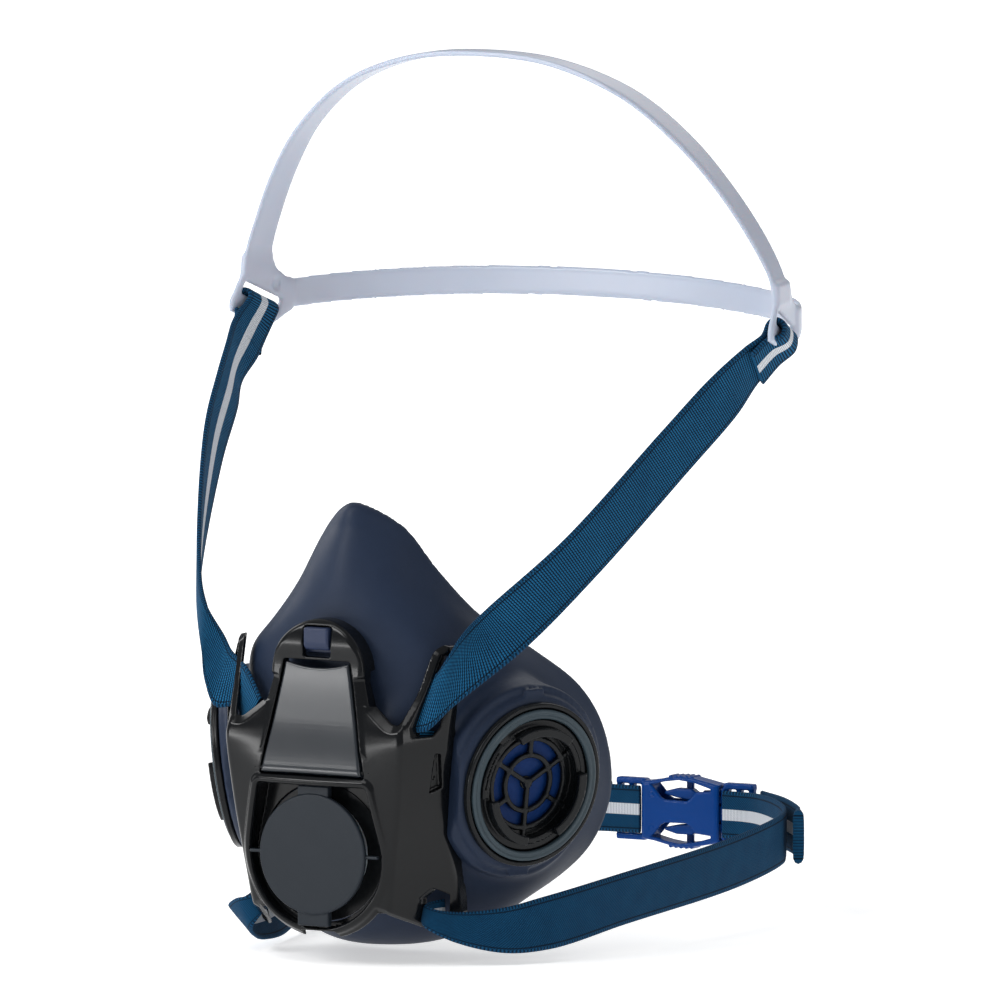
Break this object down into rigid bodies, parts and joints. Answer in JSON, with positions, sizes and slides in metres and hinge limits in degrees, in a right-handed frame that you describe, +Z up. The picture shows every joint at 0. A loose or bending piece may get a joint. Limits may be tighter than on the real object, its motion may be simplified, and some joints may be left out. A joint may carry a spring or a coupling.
{
  "type": "half-mask respirator",
  "caption": "Half-mask respirator: rubber facepiece, moulded front frame with a hinged cover and a round exhaust cover, side bayonet inlets, head cradle and webbing straps with a buckle.",
  "frame": {"origin": "middle of the opening that the face goes into, level with the rearmost part of the cheek seals", "axes": "+Z up when worn, +Y from the mask towards the back of the wearer's head, +X to the right when the mask's front is looked at"},
  "size_m": [0.1824, 0.213, 0.2505],
  "materials": {
    "face_rubber": "matte navy-grey silicone with a fine moulded grain",
    "frame_plastic": "glossy charcoal moulding",
    "satin_plastic": "satin dark slate moulding",
    "navy_rubber": "satin navy",
    "port_plastic": "satin black moulding",
    "gasket_rubber": "smooth grey-blue rubber",
    "flap_blue": "thin deep-blue silicone sheet",
    "flap_clear": "thin pale silicone sheet",
    "cradle_plastic": "satin pale lavender-grey moulding",
    "webbing": "woven elastic webbing with a pale stripe on its inner face",
    "buckle_blue": "satin royal blue moulding",
    "steel": "bright drawn wire"
  },
  "bodies": {
    "mask": {"facepiece": "face_rubber", "front_frame": "frame_plastic", "cover_hinge_pin": "steel", "exhaust_cover": "satin_plastic", "exhaust_valve_seat": "port_plastic", "inlet_port_right": "port_plastic", "inlet_port_left": "port_plastic", "port_gasket_right": "gasket_rubber", "port_gasket_left": "gasket_rubber", "port_locking_ring_right": "port_plastic", "port_locking_ring_left": "port_plastic", "strap_run_right": "webbing", "strap_run_left": "webbing", "button_spring": "steel"},
    "cover": {"front_cover": "satin_plastic"},
    "button": {"release_button": "navy_rubber"},
    "exhaust_valve": {"exhaust_flap": "flap_clear"},
    "inlet_valve_right": {"inlet_flap_right": "flap_blue"},
    "inlet_valve_left": {"inlet_flap_left": "flap_blue"},
    "upper_harness": {"upper_strap_right": "webbing", "upper_strap_left": "webbing"},
    "cradle": {"head_cradle": "cradle_plastic"},
    "neck_loop": {"neck_strap_left": "webbing", "strap_end_left": "webbing", "buckle_socket": "buckle_blue", "neck_strap_right": "webbing"},
    "plug": {"buckle_plug": "buckle_blue", "strap_end_right": "webbing"},
    "upper_latch": {"latch_arm_upper": "buckle_blue"},
    "lower_latch": {"latch_arm_lower": "buckle_blue"}
  },
  "joints": [
    {"name": "cover_hinge", "type": "hinge", "parent": "mask", "child": "cover", "pos_m": [0, -0.0845, -0.0061], "axis": [1, 0, 0], "range_deg": [0, 70]},
    {"name": "button_press", "type": "slide", "parent": "mask", "child": "button", "axis": [0, 1, 0], "range_m": [0, 0.0012], "stiffness_N_per_m": 900, "springref_m": -0.001, "deforming": ["button_spring"]},
    {"name": "exhaust_flap_lift", "type": "slide", "parent": "mask", "child": "exhaust_valve", "axis": [0, -1, 0], "range_m": [0, 0.0015], "stiffness_N_per_m": 20},
    {"name": "inlet_flap_lift_right", "type": "slide", "parent": "mask", "child": "inlet_valve_right", "axis": [-0.9182, 0.371, 0.1392], "range_m": [0, 0.0018], "stiffness_N_per_m": 20},
    {"name": "inlet_flap_lift_left", "type": "slide", "parent": "mask", "child": "inlet_valve_left", "axis": [0.9182, 0.371, 0.1392], "range_m": [0, 0.0018], "stiffness_N_per_m": 20},
    {"name": "harness_swing", "type": "hinge", "parent": "mask", "child": "upper_harness", "pos_m": [0, -0.0773, 0.012], "axis": [1, 0, 0], "range_deg": [-12, 60], "deforming": ["upper_strap_right", "upper_strap_left"]},
    {"name": "cradle_tilt", "type": "hinge", "parent": "upper_harness", "child": "cradle", "pos_m": [0, 0.0313, 0.1115], "axis": [1, 0, 0], "range_deg": [-30, 30]},
    {"name": "neck_loop_swing", "type": "hinge", "parent": "mask", "child": "neck_loop", "pos_m": [0, -0.069, -0.048], "axis": [1, 0, 0], "range_deg": [-60, 8], "deforming": ["neck_strap_left"]},
    {"name": "buckle_pull", "type": "slide", "parent": "neck_loop", "child": "plug", "axis": [0.9994, 0.0349, 0], "range_m": [0, 0.022], "deforming": ["neck_strap_right"]},
    {"name": "upper_latch_squeeze", "type": "hinge", "parent": "plug", "child": "upper_latch", "pos_m": [0.01549, 0.12293, -0.034], "axis": [-0.0349, 0.9994, 0], "range_deg": [-6.5, 0], "stiffness_Nm_per_rad": 0.4},
    {"name": "lower_latch_squeeze", "type": "hinge", "parent": "plug", "child": "lower_latch", "pos_m": [0.01549, 0.12293, -0.0428], "axis": [-0.0349, 0.9994, 0], "range_deg": [0, 6.5], "stiffness_Nm_per_rad": 0.4}
  ],
  "couplings": [
    {"joint": "lower_latch_squeeze", "follows": "upper_latch_squeeze", "ratio": -1}
  ]
}
